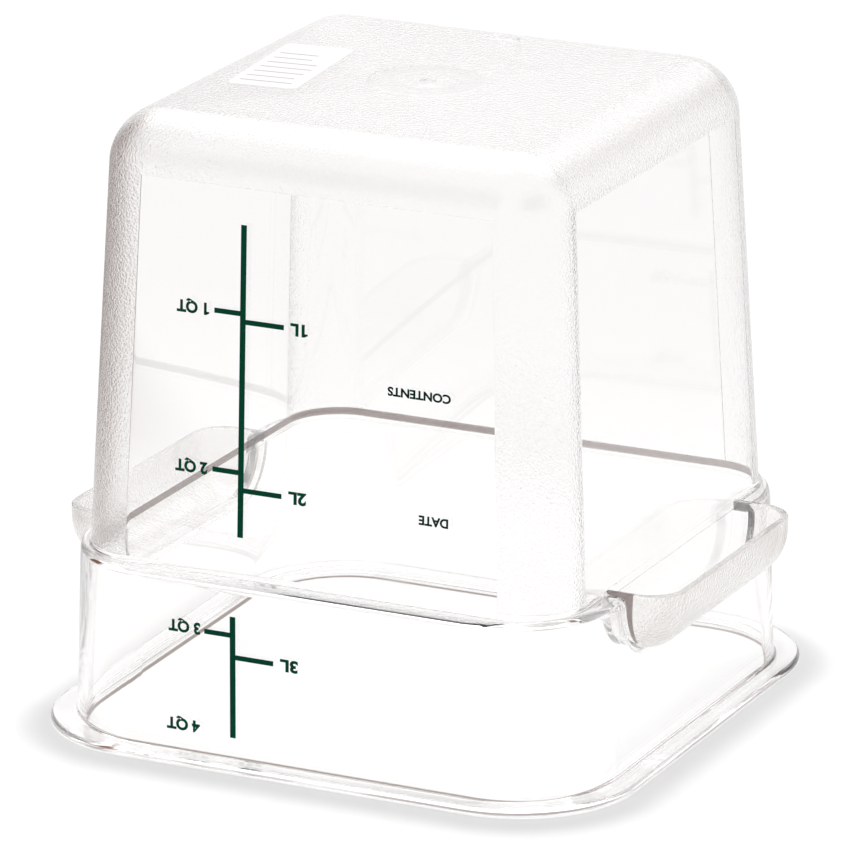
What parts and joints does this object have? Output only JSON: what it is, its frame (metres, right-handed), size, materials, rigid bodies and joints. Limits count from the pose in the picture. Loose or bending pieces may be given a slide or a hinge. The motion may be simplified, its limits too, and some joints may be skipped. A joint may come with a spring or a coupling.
{
  "type": "food storage container",
  "caption": "Clear square food storage container standing upside down on its flanged rim, with a rounded base, a stepped shoulder, scoop handles and a printed volume scale.",
  "frame": {"origin": "middle of the open rim, in the plane of the rim's flat edge, on which the container stands upside down", "axes": "+Z from the rim up to the base, +X to one of the two handles, -Y out of the printed face"},
  "size_m": [0.1968, 0.184, 0.1855],
  "materials": {
    "clear_polycarbonate": "clear and glossy on the middles of the four sides, finely stippled on the corners, the base's round edges and the handles",
    "label_film": "plain matt film",
    "scale_ink": "dark green printed ink"
  },
  "bodies": {
    "root": {"container": "clear_polycarbonate", "base_label": "label_film", "scale_upper": "scale_ink", "scale_lower": "scale_ink"}
  },
  "joints": []
}
